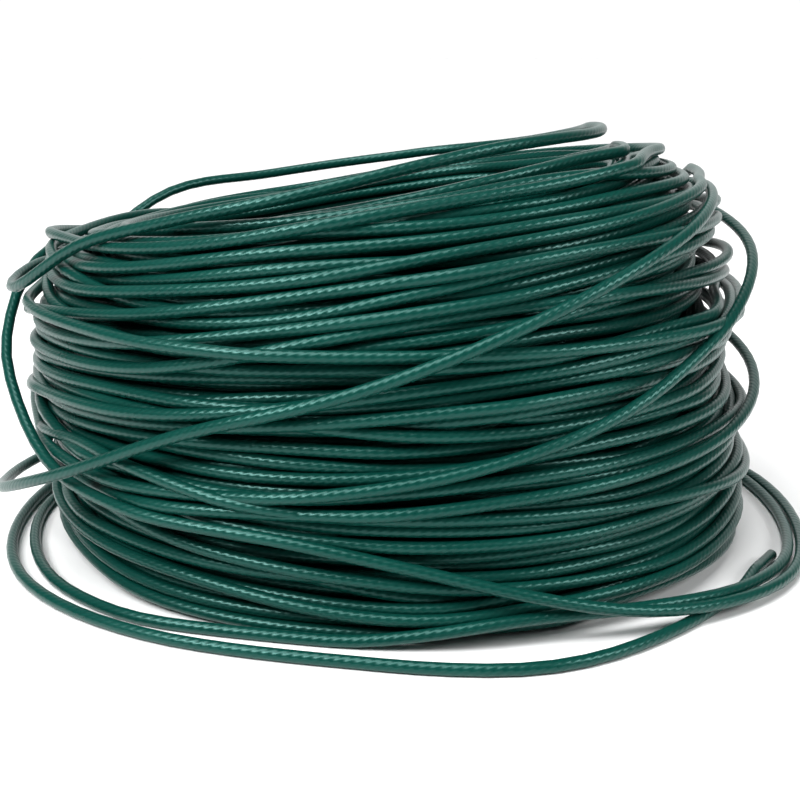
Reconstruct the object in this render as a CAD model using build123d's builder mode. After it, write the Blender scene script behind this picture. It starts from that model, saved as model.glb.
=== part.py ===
from build123d import *
import math
import os

# A loose coil of plastic-covered stranded wire, standing on its flat end with its bore upright.
# Lengths are in millimetres and angles in degrees. The origin is on the bore's axis, at the floor,
# +Z is up, -Y is the front and +X the right-hand side. An azimuth is turned from +X towards +Y.

# Wire
wire_d = 2.2                # outside diameter of the plastic sheath
strand_d = 0.37             # one drawn copper strand
strand_ring = 6             # strands laid round the middle one
strand_clearance = 0.02     # between neighbouring strands, and between strands and sheath
strand_projection = 0.3     # how far the strands stand out of the sheath at a cut end
end_length = 13.0           # straight stretch of wire behind each cut end
lay_gap = 0.25              # air between a loose turn and the lay below it
burial_depth = 1.6          # how far the ends of a loose turn go in among the lays

# Winding
bore_r = 42.0               # free bore inside the coil
sleeve_thickness = 4.4      # the first two layers, wound straight on the former
winding_r = 74.0            # outside radius of the packed lays
upper_inset = 1.7           # how much narrower the upper lay is at its middle
upper_taper = 3.0           # how much the upper lay narrows from its middle to the end of its bands
upper_shift = -2.0          # sideways slump of the upper lay
crown_inset = 5.0           # how much narrower the crown lay is at its foot
crown_widening = 6.0        # how much wider than the coil's bore the crown's inside is
crest_land = 7.0            # from the crown's inside out to its crest
crown_shift = -6.0          # sideways slump of the crown lay
crown_rise = 11.5           # crest of the crown above the upper seam
course_height = 5.5         # visible bands of turns on the outside of a lay
groove_depth = 0.9          # depth of the furrow between two bands

# Seams between the lays: height on the bore's axis, and slope from left to right
lower_seam_height = 22.0
lower_seam_slope = -0.04
middle_seam_height = 43.0
middle_seam_slope = 0.05
upper_seam_height = 59.0
upper_seam_slope = 0.15
crown_slope = 0.16          # slope of the crown itself
crown_lean = -18.0          # azimuth towards which the crown rises


def slope_plane(height, slope):
    """Plane that crosses the bore's axis at a height and rises towards +X by the slope."""
    return Plane(origin=(0, 0, height), x_dir=(1, 0, slope), z_dir=(-slope, 0, 1))


base = slope_plane(0, 0)
lower_seam = slope_plane(lower_seam_height, lower_seam_slope)
middle_seam = slope_plane(middle_seam_height, middle_seam_slope)
upper_seam = slope_plane(upper_seam_height, upper_seam_slope)
sleeve_r = bore_r + sleeve_thickness
sleeve_height = upper_seam_height - upper_seam_slope * sleeve_r   # up to the upper seam's low side
upper_r = winding_r - upper_inset
crown_bore_r = bore_r + crown_widening
crown_crest_r = crown_bore_r + crest_land
crown_r = winding_r - crown_inset
crown_run = crown_r - crown_crest_r


def banded_edge(outer_r, taper, reach):
    """Outside edge of a lay as radius and height points, with a furrow between its bands of turns."""
    half_bands = 2 * max(2, round(2 * reach / course_height))
    points = []
    for index in range(half_bands + 1):
        share = 2 * index / half_bands - 1
        depth = groove_depth * (index % 2 == 0)
        points.append((outer_r - taper * share - depth, reach * share))
    return points


def domed_edge():
    """Outside edge of the crown, banded along the quarter ellipse from its foot to its crest."""
    dome_length = math.pi / 2 * math.sqrt((crown_run**2 + crown_rise**2) / 2)
    bands = max(2, round(dome_length / course_height))
    points = [(crown_r, -crown_rise)]
    for index in range(2 * bands + 1):
        turn = math.radians(90 * index / (2 * bands))
        depth = groove_depth * (index % 2 == 0)
        points.append(
            (
                crown_crest_r + (crown_run - depth) * math.cos(turn),
                (crown_rise - depth) * math.sin(turn),
            )
        )
    return points


def wound_lay(label, edge, inner_r, shift, height, slope, lean, floor_plane, roof_plane, core_r):
    """Lay of turns inside a banded edge, cut at the seams below and above and bored for its core."""
    across = math.cos(math.radians(lean))
    along = math.sin(math.radians(lean))
    centre = (shift, 0, height + shift * slope * across)
    section = Plane(origin=centre, x_dir=(across, along, slope), z_dir=(along, -across, 0))
    top = max(point[1] for point in edge)
    bottom = min(point[1] for point in edge)
    with BuildPart() as lay:
        with BuildSketch(section):
            with BuildLine():
                Polyline((inner_r, top), (inner_r, bottom), *edge, close=True)
            make_face()
        revolve(axis=Axis(centre, (-slope * across, -slope * along, 1)))
        split(bisect_by=floor_plane, keep=Keep.TOP)
        if roof_plane is not None:
            split(bisect_by=roof_plane, keep=Keep.BOTTOM)
        Cylinder(core_r, cut_height, mode=Mode.SUBTRACT)
    lay.part.label = label
    return lay


with BuildPart() as inner_sleeve:
    with BuildSketch():
        Circle(sleeve_r)
        Circle(bore_r, mode=Mode.SUBTRACT)
    extrude(amount=sleeve_height)
inner_sleeve.part.label = "inner_sleeve"

core_start_r = sleeve_r - sleeve_thickness / 2
lay_reach = 15.0            # half height to which a lay's bands are drawn before its seams cut them
cut_height = 4 * winding_r  # taller than any lay
level_lean = 0              # the lays under the crown rise straight towards +X
lower_lay = wound_lay(
    "lower_lay",
    banded_edge(winding_r, 0, lay_reach),
    core_start_r,
    0,
    lower_seam_height / 2,
    lower_seam_slope / 2,
    level_lean,
    base,
    lower_seam,
    sleeve_r,
)
middle_lay = wound_lay(
    "middle_lay",
    banded_edge(winding_r, 0, lay_reach),
    core_start_r,
    0,
    (lower_seam_height + middle_seam_height) / 2,
    (lower_seam_slope + middle_seam_slope) / 2,
    level_lean,
    lower_seam,
    middle_seam,
    sleeve_r,
)
upper_lay = wound_lay(
    "upper_lay",
    banded_edge(upper_r, upper_taper, lay_reach),
    core_start_r,
    upper_shift,
    (middle_seam_height + upper_seam_height) / 2,
    (middle_seam_slope + upper_seam_slope) / 2,
    level_lean,
    middle_seam,
    upper_seam,
    sleeve_r,
)
crown_lay = wound_lay(
    "crown_lay",
    domed_edge(),
    crown_bore_r,
    crown_shift,
    upper_seam_height,
    crown_slope,
    crown_lean,
    upper_seam,
    None,
    sleeve_r,
)
winding = [inner_sleeve, lower_lay, middle_lay, upper_lay, crown_lay]

# Loose turns. Each station is an azimuth, how many wire diameters the wire's centre line stands
# outside the coil's outline, and a level: 0 is the floor, 1 the upper seam and 2 the crown's crest.
on_floor = 0
first_layer = (lay_gap + wire_d / 2) / wire_d           # turns that lie on the lays
second_layer = first_layer + (wire_d + lay_gap) / wire_d    # turns that cross over those
buried = -(groove_depth + burial_depth) / wire_d        # where a turn goes in among the lays


def level_height(level):
    """Height of the centre line of a wire that lies at a level."""
    floor_height = wire_d / 2
    if level > 1:
        return upper_seam_height + (level - 1) * crown_rise
    return floor_height + level * (upper_seam_height - floor_height)


def outline_radius(level):
    """Radius of the coil's outline at a level: the winding's, or above the upper seam the crown's."""
    if level <= 1:
        return winding_r
    climb = min(level - 1, 1)
    return crown_crest_r + crown_run * math.sqrt(1 - climb**2)


def on_coil(azimuth, radius, height):
    """Point at an azimuth, radius and height."""
    turn = math.radians(azimuth)
    return Vector(radius * math.cos(turn), radius * math.sin(turn), height)


def corner_radii(points):
    """Arc radius at each inner point of a route, as large as its two runs allow."""
    radii = []
    for before, here, after in zip(points, points[1:], points[2:]):
        half_turn = math.radians((here - before).get_angle(after - here)) / 2
        shorter_run = min((here - before).length, (after - here).length)
        radii.append(0.45 * shorter_run / math.tan(half_turn))
    return radii


def route_points(stations):
    """Corners of a route whose arcs then run at the stations' own radii."""
    points = []
    for index, (azimuth, stand_out, level) in enumerate(stations):
        before = stations[max(index - 1, 0)][0]
        after = stations[min(index + 1, len(stations) - 1)][0]
        arc_share = math.cos(math.radians(abs(after - before) / 4))
        radius = (outline_radius(level) + stand_out * wire_d) / arc_share
        points.append(on_coil(azimuth, radius, level_height(level)))
    return points


def loose_turn(label, points):
    """Wire laid along the points and trimmed where it goes in among the lays."""
    radii = corner_radii(points)
    print(label, "arc radii", [round(radius, 1) for radius in radii])
    with BuildPart() as turn:
        with BuildLine() as route:
            FilletPolyline(*points, radius=radii)
        path = route.wire()
        with BuildSketch(Plane(origin=path @ 0, z_dir=path % 0)):
            Circle(wire_d / 2)
        sweep(path=path)
        section = math.pi * wire_d**2 / 4
        print(label, "volume over section times length", turn.part.volume / section / path.length)
        for lay in winding:
            add(lay.part, mode=Mode.SUBTRACT)
    turn.part.label = label
    return turn, Plane(origin=path @ 1, z_dir=path % 1)


front_floor_stations = [
    (-220, buried, on_floor),
    (-199, 1.64, on_floor),
    (-173, 3.09, on_floor),
    (-147, 4.73, on_floor),
    (-121, 4.00, on_floor),
    (-98, 2.73, on_floor),
    (-74, 5.73, on_floor),
    (-51, 3.73, on_floor),
    (-34, 2.45, on_floor),
]
left_floor_stations = [
    (-208, buried, on_floor),
    (-186, 1.27, on_floor),
    (-162, 1.91, on_floor),
    (-138, 2.64, on_floor),
    (-118, 1.45, on_floor),
    (-98, buried, on_floor),
]
sweeping_stations = [
    (-208, -2.00, 0.84),
    (-190, 1.36, 0.931),
    (-170, 3.36, 0.672),
    (-148, 1.64, 0.378),
    (-128, second_layer, 0.33),
    (-104, first_layer, 0.30),
    (-80, first_layer, 0.18),
    (-58, 3.00, 0.06),
    (-36, 5.64, 0.016),
    (-10, 4.60, on_floor),
    (14, 4.00, on_floor),
    (35, 1.64, on_floor),
    (54, buried, on_floor),
]
inner_right_floor_stations = [
    (-76, buried, 0.064),
    (-56, 1.91, 0.059),
    (-34, 4.40, 0.026),
    (-10, 3.40, on_floor),
    (14, 2.40, on_floor),
    (36, buried, on_floor),
]
left_crossing_stations = [
    (-210, buried, 0.128),
    (-190, 1.55, 0.128),
    (-167, 4.45, 0.171),
    (-143, 3.27, 0.361),
    (-118, first_layer, 0.60),
    (-94, first_layer, 0.76),
    (-70, 0.27, 0.95),
    (-48, 2.45, 1.52),
    (-26, 2.95, 1.92),
    (-6, 2.80, 2.00),
    (14, -3.10, 1.87),
]
top_stations = [
    (-202, -4.55, 0.88),
    (-184, 1.36, 0.90),
    (-164, 2.10, 0.88),
    (-148, 1.05, 1.34),
    (-132, 0.30, 1.80),
    (-112, 1.95, 2.22),
    (-90, -1.55, 2.66),
    (-68, -3.55, 2.94),
    (-44, -4.80, 3.04),
    (-17, -5.20, 3.04),
    (10, -5.20, 3.00),
    (36, -3.50, 2.75),
    (62, -0.20, 2.40),
    (90, 2.25, 2.06),
    (120, -1.95, 1.66),
    (142, -2.30, 1.36),
    (160, -3.50, 0.86),
]
right_upper_stations = [
    (56, buried, 1.26),
    (34, 1.60, 1.52),
    (10, 1.95, 1.30),
    (-14, 0.20, 0.974),
    (-36, 0.50, 0.836),
    (-58, first_layer, 0.637),
    (-82, first_layer, 0.509),
    (-104, buried, 0.437),
]
right_middle_stations = [
    (48, buried, 0.679),
    (26, 0.90, 0.644),
    (2, 1.10, 0.575),
    (-22, 1.00, 0.499),
    (-41, first_layer, 0.451),
    (-60, buried, 0.43),
]


def on_sleeve(azimuth, rise):
    """Point of a wire whose centre line runs round the sleeve, at a rise from its top."""
    return on_coil(azimuth, core_start_r, sleeve_height + rise)


def on_upper_seam(azimuth, stand_out):
    """Point of a wire that lies on the upper lay, at wire diameters outside the crown's bore."""
    radius = crown_bore_r + stand_out * wire_d
    seam_height = upper_seam_height + upper_seam_slope * radius * math.cos(math.radians(azimuth))
    return on_coil(azimuth, radius, seam_height + lay_gap + wire_d / 2)


# The inner end rises out of the sleeve's top and lies on the upper lay, inside the crown.
inner_end_points = [
    on_sleeve(228, -burial_depth),
    on_sleeve(205, lay_gap + wire_d / 2),
    on_upper_seam(183, -0.55),
    on_upper_seam(162, 0.00),
    on_upper_seam(142, -0.90),
]


loose_stations = {
    "front_floor_turn": front_floor_stations,
    "left_floor_turn": left_floor_stations,
    "sweeping_turn": sweeping_stations,
    "inner_right_floor_turn": inner_right_floor_stations,
    "left_crossing_turn": left_crossing_stations,
    "top_turn": top_stations,
    "right_upper_turn": right_upper_stations,
    "right_middle_turn": right_middle_stations,
}
routes = {label: route_points(stations) for label, stations in loose_stations.items()}
routes["inner_end_turn"] = inner_end_points
turns = {}
end_planes = {}
for label, points in routes.items():
    turns[label], end_planes[label] = loose_turn(label, points)

# Cut ends: a straight stretch of open sheath with the bare strands standing out of it.
ring_r = strand_d + strand_clearance
sheath_bore_r = ring_r + strand_d / 2 + strand_clearance


def cut_end(name, plane):
    """Hollow sheath and its seven strands, in line with the turn that they end."""
    with BuildPart() as sheath:
        with BuildSketch(plane):
            Circle(wire_d / 2)
            Circle(sheath_bore_r, mode=Mode.SUBTRACT)
        extrude(amount=end_length)
    sheath.part.label = f"{name}_sheath"
    with BuildPart() as strands:
        with BuildSketch(plane):
            Circle(strand_d / 2)
            with PolarLocations(ring_r, strand_ring):
                Circle(strand_d / 2)
        extrude(amount=end_length + strand_projection)
    strands.part.label = f"{name}_strands"
    return sheath, strands


outer_end = cut_end("outer_end", end_planes["front_floor_turn"])
inner_end = cut_end("inner_end", end_planes["inner_end_turn"])

os.makedirs("parts", exist_ok=True)
for piece in [*winding, *turns.values(), *outer_end, *inner_end]:
    export_step(piece.part, f"parts/{piece.part.label}.step")
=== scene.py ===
import logging
import math
from dataclasses import dataclass, field
from enum import Enum

import bmesh
import bpy
import numpy as np
from bpy.types import Material, Mesh, NodeSocket, Object
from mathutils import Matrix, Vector


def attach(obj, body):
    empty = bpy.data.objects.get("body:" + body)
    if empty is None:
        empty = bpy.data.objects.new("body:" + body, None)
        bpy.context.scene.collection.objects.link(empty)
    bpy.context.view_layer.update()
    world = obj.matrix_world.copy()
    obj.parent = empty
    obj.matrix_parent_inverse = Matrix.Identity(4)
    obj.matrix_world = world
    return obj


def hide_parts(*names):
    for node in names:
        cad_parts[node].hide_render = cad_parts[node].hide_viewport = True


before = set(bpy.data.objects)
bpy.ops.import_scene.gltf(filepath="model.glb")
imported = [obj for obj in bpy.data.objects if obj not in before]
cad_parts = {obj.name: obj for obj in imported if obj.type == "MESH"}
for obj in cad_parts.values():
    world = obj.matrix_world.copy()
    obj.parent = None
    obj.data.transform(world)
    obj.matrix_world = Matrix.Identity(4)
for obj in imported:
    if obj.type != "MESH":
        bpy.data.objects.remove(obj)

log = logging.getLogger("coil_of_wire")
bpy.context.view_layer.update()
Array = np.ndarray
MM = 0.001
REAR = 15.0  # azimuth at which each turn begins, in degrees
STATIONS = 96  # control points in a turn
STEP = 360.0 / STATIONS  # degrees between two control points
SEED = 41


# Sizes of the coil, in millimetres, and the routes of its loose turns.


@dataclass(frozen=True)
class CoilShape:
    """Sizes of the coil in millimetres, as in its solids."""

    wire_d: float = 2.2
    strand_d: float = 0.37
    strand_clearance: float = 0.02
    end_length: float = 13.0
    lay_gap: float = 0.25
    groove_depth: float = 0.9
    burial_depth: float = 1.6
    bore_r: float = 42.0
    winding_r: float = 74.0
    upper_inset: float = 1.7
    upper_taper: float = 3.0
    crown_inset: float = 5.0
    crown_widening: float = 6.0
    crest_land: float = 7.0
    crown_shift: float = -6.0
    crown_rise: float = 11.5
    crown_slope: float = 0.16
    crown_lean: float = -18.0
    crown_fade: float = 20.0
    crown_fill: float = 1.0
    upper_seam: float = 59.0
    middle_seam: float = 43.0
    lower_seam: float = 22.0
    lay_reach: float = 15.0
    rear_inset: float = 4.7
    upper_shift: float = -2.0

    @property
    def wire_r(self) -> float:
        """Radius of the wire."""
        return self.wire_d / 2

    @property
    def upper_middle(self) -> float:
        """Height of the middle of the upper lay."""
        return (self.middle_seam + self.upper_seam) / 2

    @property
    def crown_bore_r(self) -> float:
        """Radius of the free space inside the crown."""
        return self.bore_r + self.crown_widening

    @property
    def crest(self) -> float:
        """Height of the crown's crest on the bore's axis."""
        return self.upper_seam + self.crown_rise

    def dome(self, climb: Array) -> Array:
        """Radius of the crown's outline at a share of its rise."""
        crest_r = self.crown_bore_r + self.crest_land
        return crest_r + (self.winding_r - self.crown_inset - crest_r) * np.sqrt(1.0 - climb**2)

    def slump(self, level: Array) -> Array:
        """Sideways shift of the turns at a level."""
        levels = (0.0, self.lower_seam, self.upper_middle, self.crest)
        return np.interp(level, levels, (0.0, 0.0, self.upper_shift, self.crown_shift))

    def slope(self, level: Array) -> Array:
        """Steepest rise of turns at a height on the bore's axis, for each millimetre out."""
        seams = (0.0, self.lower_seam, self.middle_seam, self.upper_seam, self.crest)
        return np.interp(level, seams, (0.0, -0.04, 0.05, 0.15, self.crown_slope))

    def lean(self, level: Array, azimuth: Array) -> Array:
        """Rise of turns at a height, for each millimetre out along an azimuth in degrees."""
        towards = self.crown_lean * np.clip((level - self.middle_seam) / self.crown_fade, 0.0, 1.0)
        return self.slope(level) * np.cos(np.radians(azimuth - towards))

    def reach(self, level: Array) -> Array:
        """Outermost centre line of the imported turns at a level."""
        climb = np.clip((level - self.upper_seam) / (self.crown_rise + self.crown_fill), 0.0, 1.0)
        taper = self.upper_taper * (level - self.upper_middle) / self.lay_reach
        upper = np.minimum(self.winding_r - self.upper_inset - taper, self.winding_r)
        body = np.where(level > self.middle_seam, upper, self.winding_r)
        return np.where(level > self.upper_seam, self.dome(climb), body) - self.wire_r


SHAPE = CoilShape()
SETTLE = 2.5  # how far turns that lie on the coil's side sink below their solids
CREST_SETTLE = 0.7  # the same for the turn that lies on the crest
ON_FLOOR = 0.0
FIRST_LAYER = (SHAPE.lay_gap + SHAPE.wire_r) / SHAPE.wire_d
SECOND_LAYER = FIRST_LAYER + (SHAPE.wire_d + SHAPE.lay_gap) / SHAPE.wire_d
BURIED = -(SHAPE.groove_depth + SHAPE.burial_depth) / SHAPE.wire_d

# Loose turns in the order in which the wire runs through them, with azimuths that grow along it.
RIGHT_MIDDLE = [
    (-60, BURIED, 0.43), (-41, FIRST_LAYER, 0.451), (-22, 1.00, 0.499), (2, 1.10, 0.575),
    (26, 0.90, 0.644), (48, BURIED, 0.679),
]
RIGHT_UPPER = [
    (-104, BURIED, 0.437), (-82, FIRST_LAYER, 0.509), (-58, FIRST_LAYER, 0.637),
    (-36, 0.50, 0.836), (-14, 0.20, 0.974), (10, 1.95, 1.30), (34, 1.60, 1.52),
    (56, BURIED, 1.26),
]
TOP = [
    (-202, -4.55, 0.88), (-184, 1.36, 0.90), (-164, 2.10, 0.88), (-148, 1.05, 1.34),
    (-132, 0.30, 1.80), (-112, 1.95, 2.22), (-90, -1.55, 2.66), (-68, -3.55, 2.94),
    (-44, -4.80, 3.04), (-17, -5.20, 3.04), (10, -5.20, 3.00), (36, -3.50, 2.75),
    (62, -0.20, 2.40), (90, 2.25, 2.06), (120, -1.95, 1.66), (142, -2.30, 1.36),
    (160, -3.50, 0.86),
]
SWEEPING = [
    (-208, -2.00, 0.84), (-190, 1.36, 0.931), (-170, 3.36, 0.672), (-148, 1.64, 0.378),
    (-128, SECOND_LAYER, 0.33), (-104, FIRST_LAYER, 0.30), (-80, FIRST_LAYER, 0.18),
    (-58, 3.00, 0.06), (-36, 5.64, 0.016), (-10, 4.60, ON_FLOOR), (14, 4.00, ON_FLOOR),
    (35, 1.64, ON_FLOOR), (54, BURIED, ON_FLOOR),
]
FLOOR_PAIR = [
    (-208, BURIED, ON_FLOOR), (-186, 1.27, ON_FLOOR), (-162, 1.91, ON_FLOOR),
    (-138, 2.64, ON_FLOOR), (-118, 1.45, ON_FLOOR), (-98, BURIED, ON_FLOOR),
    (-76, BURIED, 0.064), (-56, 1.91, 0.059), (-34, 4.40, 0.026), (-10, 3.40, ON_FLOOR),
    (14, 2.40, ON_FLOOR), (36, BURIED, ON_FLOOR),
]
LEFT_CROSSING = [
    (-210, BURIED, 0.128), (-190, 1.55, 0.128), (-167, 4.45, 0.171), (-143, 3.27, 0.361),
    (-118, FIRST_LAYER, 0.60), (-94, FIRST_LAYER, 0.76), (-70, 0.27, 0.95), (-48, 2.45, 1.52),
    (-26, 2.95, 1.92), (-6, 2.80, 2.00), (14, -3.10, 1.87),
]
FRONT_FLOOR = [
    (-220, BURIED, ON_FLOOR), (-199, 1.64, ON_FLOOR), (-173, 3.09, ON_FLOOR),
    (-147, 4.73, ON_FLOOR), (-121, 4.00, ON_FLOOR), (-98, 2.73, ON_FLOOR),
    (-74, 5.73, ON_FLOOR), (-51, 3.73, ON_FLOOR), (-34, 2.45, ON_FLOOR),
]
LOOSE_TURNS = [RIGHT_MIDDLE, RIGHT_UPPER, TOP, SWEEPING, FLOOR_PAIR, LEFT_CROSSING, FRONT_FLOOR]
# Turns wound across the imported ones: level, tilt, its azimuth, and bend.
CROSSING_PLANS = [
    (24.0, -7.0, -60.0, 1.0), (46.0, 8.0, -50.0, -1.5), (36.0, 4.5, -70.0, 1.5),
    (14.0, -5.0, -35.0, 1.0), (50.0, 7.0, -35.0, 1.0), (30.0, -5.0, -100.0, -1.5),
    (54.0, 5.5, -60.0, -1.0), (20.0, 5.0, -120.0, 1.5), (40.0, 7.5, -20.0, 1.0),
    (10.0, -3.5, -70.0, 1.0),
]
# Inner end: azimuth, radius and height of the wire that rises out of the first layer to the crown.
INNER_END = [
    (142, 46.0, 54.9), (162, 48.0, 53.5), (183, 46.8, 53.3), (205, 44.2, 53.4),
    (228, 44.2, 50.4),
]


Place = tuple[float, float, float]


def station_radius(stand_out: float, level: float) -> float:
    """Radius of a centre line that stands wire diameters outside the coil's outline at a level."""
    outline = SHAPE.winding_r if level <= 1 else SHAPE.dome(min(level - 1, 1))
    return outline + stand_out * SHAPE.wire_d


def station_height(level: float) -> float:
    """Height of a centre line at a level: 0 the floor, 1 the upper seam, 2 the crown's crest."""
    floor_height = SHAPE.wire_r
    if level > 1:
        return SHAPE.upper_seam + (level - 1) * SHAPE.crown_rise
    return floor_height + level * (SHAPE.upper_seam - floor_height)


def on_coil(azimuth: Array, radius: Array, height: Array) -> Array:
    """Points at azimuths in degrees, radii and heights, in the units of the radii."""
    turn = np.radians(azimuth)
    return np.stack([radius * np.cos(turn), radius * np.sin(turn), height], axis=-1)


def smoothstep(share: Array) -> Array:
    """Share from 0 to 1 that starts and ends gently."""
    return share * share * (3 - 2 * share)


def blurred(values: Array, before: float, after: float) -> Array:
    """Values averaged with their neighbours, the first and last with the two given."""
    padded = np.hstack([before, values, after])
    return (padded[:-2] + 2 * values + padded[2:]) / 4


def closing_run(places: list[Place]) -> tuple[Array, Array]:
    """Where a loose turn's last run ends and its direction.

    Args:
        places: azimuth, radius and height of the turn's last three stations.

    Returns:
        The end point and the unit vector along the run.
    """
    corners = []
    for before, (azimuth, radius, height), after in (places, (*places[1:], places[2])):
        arc_share = math.cos(math.radians(abs(after[0] - before[0]) / 4))
        corners.append(on_coil(azimuth, radius / arc_share, height))
    run = corners[1] - corners[0]
    return corners[1], run / np.linalg.norm(run)


# Winding: each turn is laid on the turns below it.


@dataclass
class TurnPlan:
    """Height of one turn's centre line round the coil, in millimetres and degrees."""

    level: float
    tilt: float
    tilt_azimuth: float
    bend: float
    bend_azimuth: float
    waver: Array

    def heights(self, azimuths: Array, level: Array | None = None) -> Array:
        """Heights at azimuths in degrees; several levels make one row each."""
        level = np.float64(self.level) if level is None else np.asarray(level)[:, None]
        turn = np.radians(azimuths)
        ends = (SHAPE.upper_seam, SHAPE.crest)
        out = np.interp(level, ends, (SHAPE.winding_r, SHAPE.crown_bore_r))
        lean = SHAPE.lean(level, azimuths) * out
        tilt = self.tilt * np.cos(turn - math.radians(self.tilt_azimuth))
        bend = self.bend * np.cos(2 * (turn - math.radians(self.bend_azimuth)))
        return level + lean + tilt + bend + self.waver


class LayField:
    """How far out the next centre line has to lie at each azimuth and height."""

    HEIGHT_STEP = 0.25
    TOP = 92.0
    LEVEL_STEP = 0.5
    SLACK_SHARE = 0.05  # of the room behind the wanted surface that one turn takes
    SLACK_PERCENT = 20  # of a turn that takes no slack
    MOST_SLACK = 0.15
    OUTSIDE_COST = 6  # of a millimetre outside the wanted surface
    UNDER_FLOOR_COST = 1e6
    NO_WAY = 1e9
    START_COST = 40  # of a start a millimetre off the last turn's end
    STEP_COST = 0.35  # of a stride up or down
    STRIDE = 2  # height steps in a stride
    MOST_STRIDES = 3
    VALLEY_PASSES = 16
    SPREAD_LIMITS = (0.98, 1.3)
    SPREAD_WIDTHS = (13, 41)  # stations and height steps that it is averaged over

    def __init__(self) -> None:
        """Start with the bare former: the bore, and the wider shifted space inside the crown."""
        self.azimuths = REAR + STEP * np.arange(STATIONS)
        self.heights = np.arange(0.0, self.TOP, self.HEIGHT_STEP)
        across = np.cos(np.radians(self.azimuths))
        seam = SHAPE.upper_seam + SHAPE.slope(SHAPE.upper_seam) * SHAPE.bore_r * across
        crown = SHAPE.crown_bore_r + SHAPE.wire_r + SHAPE.crown_shift * across
        above = self.heights[None, :] > seam[:, None]
        self.radius = np.where(above, crown[:, None], SHAPE.bore_r + SHAPE.wire_r)
        self.reach = np.empty_like(self.radius)
        levels = np.arange(0.0, SHAPE.crest + SHAPE.crown_fill, self.LEVEL_STEP)
        rearward = np.maximum(np.sin(np.radians(self.azimuths)), 0.0)
        for row, cosine in enumerate(across):
            heights = levels + SHAPE.lean(levels, self.azimuths[row]) * SHAPE.reach(levels)
            at_level = np.interp(self.heights, heights, levels)
            shift = SHAPE.slump(at_level) * cosine - SHAPE.rear_inset * rearward[row]
            self.reach[row] = SHAPE.reach(at_level) + shift
            self.reach[row][self.heights > heights[-1]] = 0.0

    def at(self, heights: Array, values: Array | None = None) -> Array:
        """Least radii, or other values, at heights, one for each station of a turn."""
        values = self.radius if values is None else values
        place = np.clip(heights / self.HEIGHT_STEP, 0, len(self.heights) - 2)
        low = place.astype(int)
        share = place - low
        rows = np.arange(STATIONS)
        return values[rows, low] * (1 - share) + values[rows, low + 1] * share

    def fullness(self) -> Array:
        """How far the turns stand outside the wanted surface, below zero where there is room."""
        over = self.radius - self.reach
        return np.where(over > 0, self.OUTSIDE_COST * over, over)

    def valley(self, wanted: Array, start: float, stray: float) -> Array:
        """Heights of the lowest way round that keeps near the wanted ones.

        Args:
            wanted: heights that the turn would have on a smooth coil.
            start: height at which it begins.
            stray: distance from the wanted heights that costs as much as a millimetre of radius.

        Returns:
            A height for each station.
        """
        heights = self.heights[:: self.STRIDE]
        count = len(heights)
        strays = (heights[None, :] - wanted[:, None]) / stray
        cost = self.fullness()[:, :: self.STRIDE] + strays**2
        cost[:, heights < SHAPE.wire_r] = self.UNDER_FLOOR_COST
        most = self.MOST_STRIDES
        steps = range(-most, most + 1)
        best = cost[0] + self.START_COST * (heights - start) ** 2
        choices = []
        for row in range(1, STATIONS):
            padded = np.pad(best, most, constant_values=self.NO_WAY)
            options = np.array(
                [padded[most - step :][:count] + self.STEP_COST * step * step for step in steps]
            )
            choices.append(options.argmin(axis=0))
            best = options.min(axis=0) + cost[row]
        way = [int(best.argmin())]
        for choice in reversed(choices):
            way.append(way[-1] - steps[int(choice[way[-1]])])
        way = heights[np.array(way[::-1])]
        for _ in range(self.VALLEY_PASSES):
            way = blurred(way, 2 * way[0] - way[1], 2 * way[-1] - way[-2])
        return way

    def slack(self, heights: Array) -> Array:
        """Room that a hidden turn takes at each station, more where the coil lags behind."""
        room = self.at(heights, self.reach - self.radius)
        low = np.percentile(room, self.SLACK_PERCENT)
        return SHAPE.wire_d + np.clip(self.SLACK_SHARE * (room - low), 0.0, self.MOST_SLACK)

    def spread(self) -> Array:
        """Share by which turns move out from the bore for the coil to fill its wanted surface."""
        bore = SHAPE.bore_r
        wanted = np.where(self.reach > 0, self.reach, self.radius) - bore
        share = np.clip(wanted / (self.radius - bore), *self.SPREAD_LIMITS)
        for axis, width in enumerate(self.SPREAD_WIDTHS):
            total = sum(np.roll(share, step, axis) for step in range(-(width // 2), width // 2 + 1))
            share = total / width
        return share

    def press(self, stations: Array, radii: Array, heights: Array, girth: Array) -> None:
        """Raise the field round a piece of wire that has been laid.

        Args:
            stations: index of each control point round the turn.
            radii: its radii.
            heights: its heights.
            girth: room that the wire takes at each, its diameter or a little more.
        """
        girth = girth[:, None]
        gap = self.heights[None, :] - heights[:, None]
        cap = radii[:, None] + np.sqrt(np.maximum(girth**2 - gap**2, 0.0))
        raised = np.where(np.abs(gap) < girth, cap, 0.0)
        self.radius[stations] = np.maximum(self.radius[stations], raised)


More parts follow.
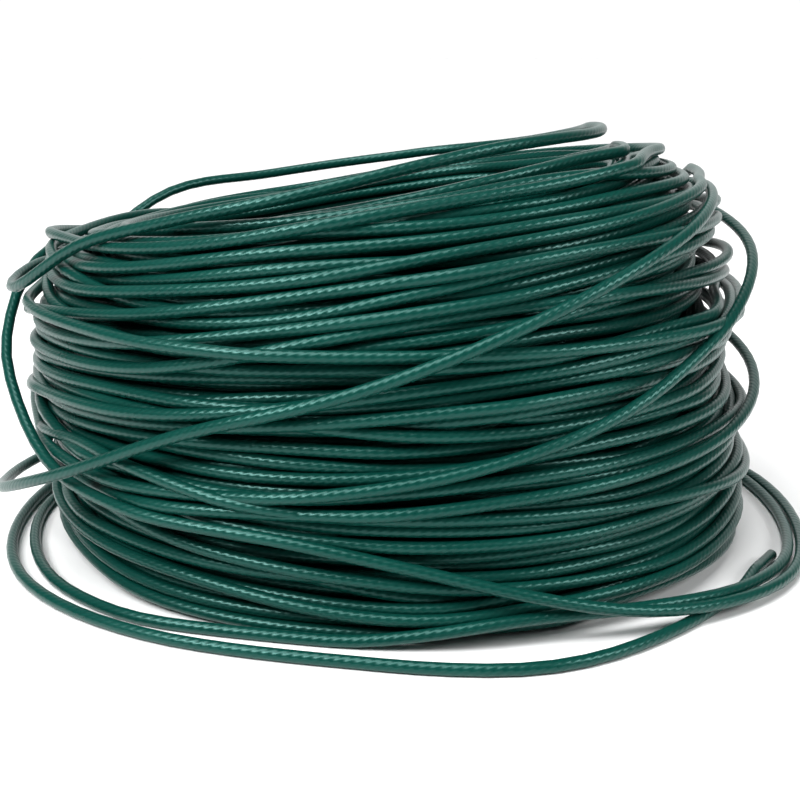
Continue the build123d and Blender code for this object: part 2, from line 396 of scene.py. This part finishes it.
@dataclass
class Winder:
    """Lays one wire turn by turn, from the inner end to the outer end."""

    rng: np.random.Generator
    climb: float = 0.55  # most that a packed turn moves out from station to station
    loose_climb: float = 1.0
    ease_stations: int = 30  # over which a turn moves from the last one's height
    pass_under: float = 2.6  # a wire this far outside a loose turn is passed inside
    radius_passes: int = 14
    tail_stations: int = 20  # laid ones that may still move out for the next
    join_stations: float = 10.0  # reach of the easing at a join
    join_passes: int = 60
    first_level: float = 48.5  # of the first layer's turns
    first_ease: float = 60.0  # degrees over which the inner end comes down to it
    level_step: float = 0.7
    under_crest: float = 0.8  # of the topmost level
    full_room: float = -0.6  # mean room at which the coil is full
    wild_from: float = 62.0  # mean radius at which turns begin to wander
    wild_over: float = 6.0  # millimetres further out they wander most
    hidden_wildness: float = 0.7  # up to which turns get covered
    level_pull: float = 0.06  # cost of a millimetre from the last turn's level
    stray: float = 4.0
    crossing_stray: float = 2.0
    outer_lag: int = 16  # most stations that a turn waits before it moves over
    crossing_lag: int = 8
    lays: LayField = field(init=False)
    packed: Array = field(init=False)
    radii: list[float] = field(default_factory=list)
    heights: list[float] = field(default_factory=list)
    first_station: int = 0

    def __post_init__(self) -> None:
        """Set up the bare former."""
        self.lays = LayField()
        self.packed = self.lays.radius

    def waver(self, size: float) -> Array:
        """Small wander of a turn's height, of a few harmonics."""
        turn = np.radians(self.lays.azimuths)
        wander = np.zeros(STATIONS)
        for harmonic in range(3, 12):
            phase = self.rng.uniform(0, 2 * math.pi)
            wander += size / harmonic * np.cos(harmonic * turn + phase)
        return wander

    @property
    def stations(self) -> Array:
        """Station round the coil of each control point laid so far."""
        return (self.first_station + np.arange(len(self.radii))) % STATIONS

    @property
    def count(self) -> int:
        """Number of stations laid so far, counted from the rear."""
        return self.first_station + len(self.radii)

    def smooth_out(self, least: Array, climb: float) -> Array:
        """Radii that stay outside the least ones and rise and fall slowly along the wire."""
        lead = self.radii[-1] if self.radii else least[0]
        radii = np.maximum(least, lead - climb * np.arange(1, len(least) + 1))
        for _ in range(self.radius_passes):
            radii = np.maximum(radii, blurred(radii, lead, radii[-1]))
        for index in range(len(radii) - 2, -1, -1):
            radii[index] = max(radii[index], radii[index + 1] - climb)
        return radii

    def lay(self, heights: Array, least: Array, hidden: bool, climb: float) -> None:
        """Lay wire along the next stations.

        Args:
            heights: wanted heights, one for each station from the last one laid.
            least: radii that the wire keeps outside even where nothing carries it.
            hidden: whether later turns cover it.
            climb: most that it moves outwards from station to station.
        """
        start = self.count
        stations = (start + np.arange(len(heights))) % STATIONS
        if self.heights:
            miss = 2 * self.heights[-1] - self.heights[-2] - heights[0]
            fade = np.clip(1 - np.arange(len(heights)) / self.join_stations, 0, 1)
            heights = heights + miss * smoothstep(fade)
        heights = np.maximum(heights, SHAPE.wire_r)
        full = np.zeros(STATIONS)
        full[stations] = heights
        girth = self.lays.slack(full) if hidden else np.full(STATIONS, SHAPE.wire_d)
        rest = self.lays.at(full)[stations]
        inside = np.maximum(self.lays.at(full, self.packed)[stations], least)
        if not hidden:
            rest = np.where(rest > inside + self.pass_under, inside, np.maximum(rest, inside))
        radii = self.smooth_out(rest, climb)
        laid = len(self.radii)
        wanted = radii[0] - climb
        tail = []
        for index in range(laid - 1, max(laid - self.tail_stations, 0), -1):
            if self.radii[index] >= wanted:
                break
            self.radii[index] = wanted
            tail.append(index)
            wanted -= climb
        self.radii.extend(radii)
        self.heights.extend(heights)
        for part in (slice(laid, None), np.array(tail, int)):
            places = self.stations[part]
            moved = np.array(self.radii)[part]
            self.lays.press(places, moved, np.array(self.heights)[part], girth[places])

    def follow(
        self, before: TurnPlan, plan: TurnPlan, stray: float, hidden: bool, lag: int
    ) -> None:
        """Lay one whole turn that moves over from the last plan to the next.

        Args:
            before: plan of the last turn.
            plan: plan of this one.
            stray: how dear it is to leave its heights.
            hidden: whether later turns cover it.
            lag: most stations that it waits before it moves over.
        """
        azimuths = self.lays.azimuths
        wait = self.rng.integers(0, lag)
        share = smoothstep(np.clip((np.arange(STATIONS) - wait) / self.ease_stations, 0, 1))
        wanted = before.heights(azimuths) * (1 - share) + plan.heights(azimuths) * share
        heights = self.lays.valley(wanted, self.heights[-1], stray)
        self.lay(heights, np.zeros(STATIONS), hidden, self.climb)

    def start(self) -> TurnPlan:
        """Lay the inner end down to the top of the first layer."""
        places, radii, rises = np.array(INNER_END).T
        self.first_station = math.ceil((places[0] - REAR) / STEP)
        azimuths = REAR + STEP * np.arange(self.first_station, STATIONS)
        ease = np.clip((azimuths - places[-1]) / self.first_ease, 0, 1)
        heights = np.interp(azimuths, places, rises) + (self.first_level - rises[-1]) * ease
        self.lay(heights, np.interp(azimuths, places, radii), True, self.climb)
        return TurnPlan(self.first_level, 0.0, 0.0, 0.0, 0.0, np.zeros(STATIONS))

    def wildness(self) -> float:
        """How much the next turns wander, from 0 inside the coil to 1 at its outside."""
        depth = float(np.mean(self.radii[-STATIONS:]))
        return float(np.clip((depth - self.wild_from) / self.wild_over, 0.0, 1))

    def wind(self) -> None:
        """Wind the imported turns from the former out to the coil's outside."""
        plan = self.start()
        draw = self.rng.uniform
        top_level = SHAPE.crest + SHAPE.crown_fill - self.under_crest
        levels = np.arange(SHAPE.wire_r, top_level, self.level_step)
        group = 0
        while True:
            if group <= 0:
                group = int(self.rng.integers(3, 8))
                wild = self.wildness()
                tilt = draw(0.3, 3.4) * wild
                tilt_azimuth = draw(-180, 180)
                bend = draw(-1.0, 1.0) * wild
                bend_azimuth = draw(0, 180)
            group -= 1
            tilts = (tilt * draw(0.8, 1.2), tilt_azimuth + draw(-15, 15))
            waver = self.waver(0.1 + 0.9 * wild)
            trial = TurnPlan(plan.level, *tilts, bend, bend_azimuth, waver)
            heights = np.maximum(trial.heights(self.lays.azimuths, levels), SHAPE.wire_r)
            over = self.lays.radius - self.lays.reach
            room = np.array([self.lays.at(row, over) for row in heights]).mean(axis=1)
            if room.min() > self.full_room:
                break
            score = room + (self.level_pull - 0.04 * wild) * np.abs(levels - plan.level)
            score += draw(0, 0.3 + 1.3 * wild, len(levels))
            trial.level = float(levels[np.argmin(score)])
            low = trial.heights(self.lays.azimuths).min() - SHAPE.wire_r
            trial.level -= 0.5 * min(low, 0.0)
            lag = STATIONS - self.ease_stations if wild <= self.hidden_wildness else self.outer_lag
            self.follow(plan, trial, self.stray, wild < self.hidden_wildness, lag)
            plan = trial
        self.ease_joins(0)
        self.open_out()
        packed = len(self.radii)
        log.info("packed turns: %d", self.count // STATIONS)
        for numbers in CROSSING_PLANS:
            trial = TurnPlan(*numbers, 0.0, self.waver(0.5))
            self.follow(plan, trial, self.crossing_stray, False, self.crossing_lag)
            plan = trial
        self.ease_joins(packed)

    def ease_joins(self, first: int) -> None:
        """Take out the bends in height where turns join, from a control point on."""
        heights = np.array(self.heights)
        smooth = heights
        for _ in range(self.join_passes):
            smooth = blurred(smooth, smooth[0], smooth[-1])
        from_join = np.minimum(self.stations, STATIONS - self.stations)
        share = np.exp(-((from_join / self.join_stations) ** 2))
        share[:first] = 0.0
        self.heights = list(heights + (smooth - heights) * share)

    def open_out(self) -> None:
        """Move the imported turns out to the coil's wanted surface and measure them again."""
        places = self.stations
        share = self.lays.spread()
        rows = (np.array(self.heights) / self.lays.HEIGHT_STEP).astype(int)
        bore = SHAPE.bore_r
        radii = bore + (np.array(self.radii) - bore) * share[places, rows]
        self.radii = list(radii)
        self.lays.radius[:] = 0.0
        girth = np.full(len(radii), SHAPE.wire_d)
        for start in range(0, len(radii), STATIONS):
            part = slice(start, start + STATIONS)
            heights = np.array(self.heights[part])
            self.lays.press(places[part], radii[part], heights, girth[part])
        self.packed = self.lays.radius.copy()

    def loose(self) -> None:
        """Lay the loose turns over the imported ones."""
        start = REAR + STEP * self.count
        reached = start
        places = [(start, 0.0, self.heights[-1])]
        for stations in LOOSE_TURNS:
            turned = 360 * math.ceil((reached - stations[0][0]) / 360)
            reached = stations[-1][0] + turned
            for azimuth, stand_out, level in stations:
                share = 1.0 if level > 1 else min(max(2 - stand_out, 0.0), 1.0)
                radius = station_radius(stand_out, level) - SETTLE * share
                shown = level > 2 or stand_out > BURIED
                height = station_height(level) - CREST_SETTLE * min(max(level - 2, 0.0), 1.0)
                places.append((azimuth + turned, radius if shown else 0.0, height))
        azimuths, radii, heights = np.array(places).T
        along = np.arange(start, azimuths[-1], STEP)
        height = eased(along, azimuths, heights)
        carried = eased(along, azimuths, radii)
        carried = np.where(carried < SHAPE.bore_r / 2, 0.0, carried)
        for index in range(0, len(along), STATIONS):
            part = slice(index, index + STATIONS)
            self.lay(height[part], carried[part], False, self.loose_climb)

    def points(self) -> Array:
        """Control points of the whole wire between its straight ends, in millimetres."""
        stations = self.first_station + np.arange(len(self.radii))
        return on_coil(REAR + STEP * stations, np.array(self.radii), np.array(self.heights))


def eased(along: Array, places: Array, values: Array) -> Array:
    """Values between places on a smooth curve without overshoot."""
    slopes = np.gradient(values, places)
    index = np.clip(np.searchsorted(places, along, side="right") - 1, 0, len(places) - 2)
    width = places[index + 1] - places[index]
    share = (along - places[index]) / width
    low, high = values[index], values[index + 1]
    steepest = 3 * abs((high - low) / width)
    first, second = (np.clip(slopes[at], -steepest, steepest) for at in (index, index + 1))
    square = share * share
    cube = square * share
    level = low * (2 * cube - 3 * square + 1) + high * (3 * square - 2 * cube)
    return level + width * (first * (cube - 2 * square + share) + second * (cube - square))


# Shader maths and node trees.

Colour = tuple[float, float, float]


class Socket:
    """Output socket of a node that adds Math nodes when it is used in an expression."""

    def __init__(self, nodes: "Nodes", output: NodeSocket) -> None:
        """Wrap an output of a tree."""
        self.nodes = nodes
        self.output = output

    def maths(self, operation: str, other: object = 0.0) -> "Socket":
        """Result of a Math node on this value and another."""
        return self.nodes.add("ShaderNodeMath", {0: self, 1: other}, operation=operation)

    def __add__(self, other: object) -> "Socket":
        """Sum."""
        return self.maths("ADD", other)

    __radd__ = __add__

    def __mul__(self, other: object) -> "Socket":
        """Product."""
        return self.maths("MULTIPLY", other)

    def wave(self) -> "Socket":
        """Cosine of the value as a number of full turns."""
        return (self * (2 * math.pi)).maths("COSINE")

    def between(self, low: float, high: float) -> "Socket":
        """Value clamped between two numbers."""
        return self.maths("MAXIMUM", low).maths("MINIMUM", high)


class Nodes:
    """Tree of shader or geometry nodes."""

    def __init__(self, tree: bpy.types.NodeTree) -> None:
        """Wrap a tree."""
        self.tree = tree

    def feed(self, target: NodeSocket, value: object) -> None:
        """Link or set one input."""
        if isinstance(value, Socket):
            self.tree.links.new(value.output, target)
        else:
            target.default_value = value

    def add(self, kind: str, values: dict, result: object = 0, **settings: object) -> Socket:
        """Add a node.

        Args:
            kind: type of the node.
            values: numbers, colours or sockets of its inputs by name or index.
            result: name or index of the output to return.
            **settings: its properties, set before its inputs.

        Returns:
            The output.
        """
        node = self.tree.nodes.new(kind)
        for key, value in settings.items():
            setattr(node, key, value)
        for key, value in values.items():
            self.feed(node.inputs[key], value)
        return Socket(self, node.outputs[result] if node.outputs else None)


class MaterialNodes(Nodes):
    """Node tree of a new material."""

    def __init__(self, name: str) -> None:
        """Make an empty material with its shader and output."""
        self.material = bpy.data.materials.new(name)
        self.material.use_nodes = True
        super().__init__(self.material.node_tree)
        self.tree.nodes.clear()
        self.shader = self.tree.nodes.new("ShaderNodeBsdfPrincipled")
        output = self.tree.nodes.new("ShaderNodeOutputMaterial")
        self.tree.links.new(self.shader.outputs[0], output.inputs[0])

    def noise(self, scale: float, detail: float) -> Socket:
        """Noise through the piece's own space."""
        where = self.add("ShaderNodeTexCoord", {}, "Object")
        values = {"Vector": where, "Scale": scale, "Detail": detail}
        return self.add("ShaderNodeTexNoise", values, "Fac")

    def mix(self, share: Socket, first: Colour, second: Colour) -> Socket:
        """Colour between two others."""
        values = {"Factor": share, "A": (*first, 1), "B": (*second, 1)}
        return self.add("ShaderNodeMix", values, 2, data_type="RGBA")

    def dress(self, **inputs: object) -> Material:
        """Feed the shader's inputs, named with underscores for spaces, and give the material."""
        for key, value in inputs.items():
            self.feed(self.shader.inputs[key.replace("_", " ")], value)
        return self.material


class LayHand(Enum):
    """Which way the strands turn under the sheath."""

    LEFT = -1
    RIGHT = 1


@dataclass(frozen=True)
class SheathFinish:
    """Satin plastic over stranded wire, with the lay of the strands showing through as bumps, and a
    painted highlight on the ridge crests.
    """

    # deep and light: darker and paler tones of the sheath; the paler one also makes the painted
    # highlight on the ridge crests
    deep: Colour = (0.0010, 0.030, 0.023)
    light: Colour = (0.0021, 0.051, 0.039)
    glint: Colour = (0.5, 1.0, 0.93)
    roughness: float = 0.22
    lay_length: float = 0.0105
    ridges: int = 6
    ridge_height: float = 0.00004
    hand: LayHand = LayHand.RIGHT

    def build(self) -> Material:
        """Make the material."""
        tree = MaterialNodes("green_sheath")
        place = tree.add("ShaderNodeAttribute", {}, "Vector", attribute_name="wire_place")
        along, around = (tree.add("ShaderNodeSeparateXYZ", {0: place}, axis) for axis in "XY")
        turns = around + along * (self.hand.value / self.lay_length)
        ridge = (turns * self.ridges).wave() * 0.5 + 0.5
        patches = tree.noise(90.0, 3.0)
        grain = tree.noise(1400.0, 2.0)
        sway = tree.noise(260.0, 2.0)
        height = ridge * (sway * 0.8 + 0.35) + grain * 0.1 + sway * 0.7
        values = {"Strength": 1.0, "Distance": self.ridge_height, "Height": height}
        # Base colour paler in random patches (the sheath's own uneven tone) and on each ridge crest
        # (a painted highlight on the lay's ridges)
        share = (patches * 0.7 + ridge * 0.35).between(0, 1)
        return tree.dress(
            Base_Color=tree.mix(share, self.deep, self.light),
            Roughness=self.roughness + grain * 0.06 + patches * 0.1,
            Normal=tree.add("ShaderNodeBump", values, "Normal"),
            IOR=1.46,
            Specular_IOR_Level=0.45,
            Specular_Tint=(*self.glint, 1),
        )


@dataclass(frozen=True)
class CopperFinish:
    """Bare drawn copper of the strands."""

    colour: Colour = (0.72, 0.33, 0.18)
    tarnish: Colour = (0.34, 0.14, 0.07)

    def build(self) -> Material:
        """Make the material."""
        tree = MaterialNodes("copper_strands")
        stain = tree.noise(2500.0, 3.0)
        colour = tree.mix(stain, self.colour, self.tarnish)
        return tree.dress(Base_Color=colour, Roughness=stain * 0.3 + 0.15, Metallic=1.0)


def placed(name: str, data: bpy.types.ID) -> Object:
    """New object in the scene."""
    thing = bpy.data.objects.new(name, data)
    bpy.context.scene.collection.objects.link(thing)
    return thing


def settled(holder: Object) -> Mesh:
    """Plain mesh of an object as it is evaluated; the object is removed."""
    graph = bpy.context.evaluated_depsgraph_get()
    mesh = bpy.data.meshes.new_from_object(holder.evaluated_get(graph))
    bpy.data.objects.remove(holder)
    return mesh


class SheathNodes(Nodes):
    """Geometry Nodes that turn a line of points into the tube of the sheath."""

    STRIP_SHARE = 0.84  # of the height of its strip of the map that a turn fills
    MERGE = 1e-7  # metres within which the two edges of the seam are joined

    def __init__(self, material: Material) -> None:
        """Build the tree."""
        super().__init__(bpy.data.node_groups.new("sheath_round_line", "GeometryNodeTree"))
        kinds = {"Geometry": "Geometry", "Radius": "Float", "Sides": "Int", "Rows": "Float"}
        new = self.tree.interface.new_socket
        self.keys = {
            name: new(name, in_out="INPUT", socket_type=f"NodeSocket{kind}").identifier
            for name, kind in kinds.items()
        }
        new("Geometry", in_out="OUTPUT", socket_type="NodeSocketGeometry")
        given = {name: self.add("NodeGroupInput", {}, name) for name in kinds}
        measures = {"Resolution": given["Sides"] + 1.0, "Radius": given["Radius"]}
        measures |= {"Start Angle": 0.0, "Sweep Angle": 2 * math.pi}
        ring = self.add("GeometryNodeCurveArc", measures, mode="RADIUS")
        factor = self.add("GeometryNodeSplineParameter", {}, "Factor")
        ways = {
            "Curve": self.add("GeometryNodeMeshToCurve", {0: given["Geometry"]}),
            "Profile Curve": self.store(ring, "around", factor, "FLOAT", "POINT"),
        }
        mesh = self.add("GeometryNodeCurveToMesh", ways)
        names = ("turn", "along", "around")
        stored = "GeometryNodeInputNamedAttribute"
        turn, along, around = (self.add(stored, {"Name": n}, data_type="FLOAT") for n in names)
        on_face = {"data_type": "FLOAT", "domain": "FACE"}
        row = self.add("GeometryNodeFieldOnDomain", {0: turn}, **on_face).maths("FLOOR")
        inset = around * self.STRIP_SHARE + (1 - self.STRIP_SHARE) / 2
        u = turn.maths("SUBTRACT", row)
        v = (row + inset).maths("DIVIDE", given["Rows"])
        place = self.add("ShaderNodeCombineXYZ", {0: along, 1: around})
        strip = self.add("ShaderNodeCombineXYZ", {0: u, 1: v})
        mesh = self.store(mesh, "wire_place", place, "FLOAT_VECTOR", "CORNER")
        mesh = self.store(mesh, "OFBake", strip, "FLOAT2", "CORNER")
        for kind, values in (
            *(("RemoveAttribute", {"Name": name}) for name in names),
            ("MergeByDistance", {"Distance": self.MERGE}),
            ("SetShadeSmooth", {}),
            ("RealizeInstances", {}),
            ("SetMaterial", {"Material": material}),
        ):
            mesh = self.add(f"GeometryNode{kind}", {0: mesh, **values})
        self.add("NodeGroupOutput", {0: mesh})

    def store(self, mesh: Socket, name: str, value: Socket, kind: str, domain: str) -> Socket:
        """Geometry with a value stored on it under a name."""
        values = {"Geometry": mesh, "Name": name, "Value": value}
        node = "GeometryNodeStoreNamedAttribute"
        return self.add(node, values, data_type=kind, domain=domain)

    def tube(self, line: Mesh, radius: float, sides: int, rows: int) -> Mesh:
        """Mesh of the tube round a line.

        Args:
            line: edges with the turn and along attributes.
            radius: radius of the sheath in metres.
            sides: faces round it.
            rows: turns that the line has, one strip of the map each.

        Returns:
            The tube as a plain mesh.
        """
        holder = placed(line.name, line)
        modifier = holder.modifiers.new("sheath", "NODES")
        modifier.node_group = self.tree
        for key, value in (("Radius", radius), ("Sides", sides), ("Rows", float(rows))):
            modifier[self.keys[key]] = value
        return settled(holder)


# Pieces.


Bores = tuple[float | None, float | None]


@dataclass(frozen=True)
class Stretch:
    """Part of the wire that makes one piece: its turns and how finely it is made."""

    name: str
    turns: float
    sides: int
    every: int = 1  # control points from one that is kept to the next
    stands_for: tuple[str, ...] = ()


STRETCHES = [
    Stretch("inner_winding", 140.0, 8, 2, ("inner_sleeve", "inner_end_turn", "inner_end_sheath")),
    Stretch("middle_winding", 56.0, 12, 1, ("lower_lay",)),
    Stretch("outer_winding", 36.0, 14, 1, ("middle_lay", "upper_lay")),
    Stretch(
        "crossing_turns",
        0.0,
        16,
        1,
        ("crown_lay", "front_floor_turn", "left_floor_turn", "sweeping_turn")
        + ("inner_right_floor_turn", "left_crossing_turn", "top_turn", "right_upper_turn")
        + ("right_middle_turn", "outer_end_sheath"),
    ),
]


class WireCoil:
    """The whole wire, in stretches that follow one another."""

    def __init__(self) -> None:
        """Work out the control points of the whole wire, in metres."""
        winder = Winder(np.random.default_rng(SEED))
        winder.wind()
        winder.loose()
        points = winder.points()
        outer = [
            (azimuth, station_radius(stand_out, level), station_height(level))
            for azimuth, stand_out, level in FRONT_FLOOR[-3:]
        ]
        outer_end, outward = closing_run(outer)
        inner_end, inward = closing_run(INNER_END[2::-1])
        halves = np.array([0.5, 1.0])[:, None] * SHAPE.end_length
        start = inner_end + inward * halves[::-1]
        finish = outer_end + outward * halves
        while np.dot(points[-1] - outer_end, outward) > -0.5 * STEP:
            points = points[:-1]
        while np.dot(points[0] - inner_end, inward) > -0.5 * STEP:
            points = points[1:]
        self.points = np.vstack([start, [inner_end], points, [outer_end], finish]) * MM

    def spline(self, points: Array, name: str) -> Array:
        """Points of the smooth line through a stretch of control points."""
        curve = bpy.data.curves.new(name, "CURVE")
        curve.dimensions = "3D"
        curve.resolution_u = 1
        spline = curve.splines.new("NURBS")
        spline.points.add(len(points) - 1)
        spline.points.foreach_set("co", np.hstack([points, np.ones((len(points), 1))]).ravel())
        spline.order_u = 3
        spline.use_endpoint_u = True
        line = settled(placed(name, curve))
        centres = np.empty(3 * len(line.vertices))
        line.vertices.foreach_get("co", centres)
        bpy.data.meshes.remove(line)
        return centres.reshape(-1, 3)

    def build(self, tree: SheathNodes) -> None:
        bore_r = (1.5 * SHAPE.strand_d + 2 * SHAPE.strand_clearance) * MM
        start = 0
        begun = 0.0
        ends = []
        for index, stretch in enumerate(STRETCHES):
            last = index == len(STRETCHES) - 1
            end = len(self.points) - 1 if last else start + round(stretch.turns * STATIONS)
            part = self.points[start : end + 1 : stretch.every]
            if (end - start) % stretch.every:
                part = np.vstack([part, self.points[end]])
            centres = self.spline(part, stretch.name)
            steps = np.linalg.norm(np.diff(centres, axis=0), axis=1)
            along = np.append(0.0, np.cumsum(steps))
            bores = (bore_r if index == 0 else None, bore_r if last else None)
            piece = self.tube(stretch, centres, begun + along, tree, bores)
            begun += along[-1]
            ends.append((piece, centres, float(along[-1])))
            start = end
        self.declare(ends)
        log.info("wire of %.2f m in %d pieces", begun, len(ends))

    def tube(
        self,
        stretch: Stretch,
        centres: Array,
        along: Array,
        tree: SheathNodes,
        bores: Bores,
    ) -> Object:
        """Tube of one stretch.

        Args:
            stretch: what it is.
            centres: centre line in metres.
            along: length of wire up to each centre.
            tree: nodes that make the tube.
            bores: radius of the sheath's bore at each end that is cut, or None.

        Returns:
            The piece.
        """
        line = bpy.data.meshes.new(stretch.name)
        count = len(centres)
        line.from_pydata(centres.tolist(), [(i, i + 1) for i in range(count - 1)], [])
        turn = np.arange(count) * stretch.every / STATIONS
        for name, values in (("turn", turn), ("along", along)):
            line.attributes.new(name, "FLOAT", "POINT").data.foreach_set("value", values)
        rows = math.ceil(turn[-1]) + 1
        mesh = tree.tube(line, SHAPE.wire_r * MM, stretch.sides, rows)
        mesh.name = stretch.name
        close_tube(mesh, centres, bores, rows)
        piece = placed(stretch.name, mesh)
        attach(piece, "root")
        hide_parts(*stretch.stands_for)
        log.info("%s: %d faces", stretch.name, len(mesh.polygons))
        return piece

    def declare(self, ends: list[tuple[Object, Array, float]]) -> None:
        """Loop over the stretches and note which is the first and which the last; nothing else is
        done with them.
        """
        for index, (piece, centres, length) in enumerate(ends):
            inner = index == 0
            outer = index == len(ends) - 1


BORE_DEPTH = 1.2 * MM  # of the hollow in a cut end
RIM_REACH = 2 * MM
CAP_SCALE = 20.0  # width on the map of a metre of an end
CAP_ROWS = 200.0  # the same in height, in strips


def close_tube(mesh: Mesh, centres: Array, bores: Bores, rows: int) -> None:
    """Close both ends of a tube, with an open bore where the wire is cut.

    Args:
        mesh: tube with two open ends.
        centres: its centre line.
        bores: radius of the bore at each end, or None for a plain end.
        rows: strips of its map, of which the top one is free.
    """
    body = bmesh.new()
    body.from_mesh(mesh)
    layer = body.loops.layers.uv.get("OFBake")
    ends = ((centres[0], centres[1]), (centres[-1], centres[-2]))
    for number, ((centre, inside), bore) in enumerate(zip(ends, bores)):
        centre = Vector(centre)
        inward = (Vector(inside) - centre).normalized()
        rim = [
            edge
            for edge in body.edges
            if edge.is_boundary and (edge.verts[0].co - centre).length < RIM_REACH
        ]
        faces = []
        if bore is not None:
            radius = (rim[0].verts[0].co - centre).length
            for scale, shift in ((bore / radius, 0.0), (1.0, BORE_DEPTH)):
                grown = bmesh.ops.extrude_edge_only(body, edges=rim)["geom"]
                edges = [item for item in grown if isinstance(item, bmesh.types.BMEdge)]
                rim = [edge for edge in edges if edge.is_boundary]
                faces += [item for item in grown if isinstance(item, bmesh.types.BMFace)]
                for vertex in {corner for edge in rim for corner in edge.verts}:
                    vertex.co = centre + (vertex.co - centre) * scale + inward * shift
        faces += bmesh.ops.holes_fill(body, edges=rim, sides=0)["faces"]
        side = inward.orthogonal().normalized()
        up = inward.cross(side)
        for face in faces:
            face.smooth = False
            for loop in face.loops:
                away = loop.vert.co - centre
                u = 0.25 + 0.5 * number + (away.dot(side) + away.dot(inward)) * CAP_SCALE
                v = (rows - 0.5 + away.dot(up) * CAP_ROWS) / rows
                loop[layer].uv = (u, v)
    bmesh.ops.recalc_face_normals(body, faces=body.faces)
    body.to_mesh(mesh)
    body.free()


# Studio.


@dataclass
class Studio:
    """Camera, pale floor and soft light."""

    distance: float = 0.285
    height: float = 0.100
    pitch: float = 15.0
    lens: float = 61.3
    floor_radius: float = 6.0
    aim_height: float = 0.04  # of the point on the coil's axis that the softboxes face

    def camera(self) -> None:
        """Stand the camera in front of the coil, looking slightly down."""
        data = bpy.data.cameras.new("camera")
        data.lens = self.lens
        data.sensor_width = 36.0
        data.clip_start = 0.01
        data.clip_end = 20.0
        camera = placed("camera", data)
        camera.location = (0.0, -self.distance, self.height)
        camera.rotation_euler = (math.radians(90 - self.pitch), 0.0, 0.0)
        bpy.context.scene.camera = camera

    def floor(self) -> None:
        """Lay a wide flat pale floor."""
        mesh = bpy.data.meshes.new("floor")
        body = bmesh.new()
        bmesh.ops.create_circle(body, cap_ends=True, radius=self.floor_radius, segments=64)
        body.to_mesh(mesh)
        body.free()
        tree = MaterialNodes("pale_floor")
        tree.dress(Base_Color=(0.93, 0.93, 0.93, 1), Roughness=0.6)
        mesh.materials.append(tree.material)
        floor = placed("floor", mesh)

    def lamp(self, name: str, kind: str, power: float) -> Object:
        """Light of a kind, in watts or for a sun in watts on each square metre."""
        data = bpy.data.lights.new(name, kind)
        data.energy = power
        return placed(name, data)

    def softbox(self, name: str, place: tuple, size: float, power: float) -> None:
        """Hang one soft light that points at the coil.

        Args:
            name: its name.
            place: where it hangs, in metres.
            size: side of the square.
            power: in watts.
        """
        light = self.lamp(name, "AREA", power)
        light.data.size = size
        light.location = place
        aim = Vector((0.0, 0.0, self.aim_height)) - light.location
        light.rotation_euler = aim.to_track_quat("-Z", "Y").to_euler()

    def overhead(self, strength: float, spread: float) -> None:
        """Light the coil and the whole floor evenly from a wide patch of sky, in degrees across."""
        light = self.lamp("overhead", "SUN", strength)
        light.data.angle = math.radians(spread)
        light.rotation_euler = (math.radians(12), math.radians(-14), 0.0)

    def sky(self, front: float, back: float) -> None:
        """White backdrop that is bright behind and above the coil and dark in front of it."""
        world = bpy.data.worlds.new("studio")
        bpy.context.scene.world = world
        world.use_nodes = True
        nodes = Nodes(world.node_tree)
        place = nodes.add("ShaderNodeTexCoord", {}, "Generated")
        depth = nodes.add("ShaderNodeSeparateXYZ", {0: place}, "Y")
        ends = {"From Min": 0.50, "From Max": 0.95, "To Min": front, "To Max": back}
        kind = "ShaderNodeMapRange"
        strength = nodes.add(kind, {"Value": depth, **ends}, interpolation_type="SMOOTHSTEP")
        backdrop = world.node_tree.nodes["Background"]
        backdrop.inputs["Color"].default_value = (1.0, 1.0, 1.0, 1.0)
        nodes.feed(backdrop.inputs["Strength"], strength)

    def build(self) -> None:
        """Set up the backdrop, the floor and the lights."""
        self.sky(front=0.08, back=1.06)
        self.floor()
        self.overhead(strength=3.2, spread=45.0)
        self.softbox("left_softbox", (-0.55, -0.45, 0.60), size=0.28, power=6.5)
        self.softbox("right_softbox", (0.70, -0.35, 0.50), size=0.30, power=4.0)
        bpy.context.scene.view_settings.view_transform = "Standard"


def main() -> None:
    """Build the coil and its studio."""
    logging.basicConfig(level=logging.INFO, format="%(name)s: %(message)s")
    studio = Studio()
    studio.camera()
    sheath = SheathFinish().build()
    copper = CopperFinish().build()
    WireCoil().build(SheathNodes(sheath))
    for name in ("inner_end_strands", "outer_end_strands"):
        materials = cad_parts[name].data.materials
        materials.clear()
        materials.append(copper)
    studio.build()


if __name__ == "__main__":
    main()
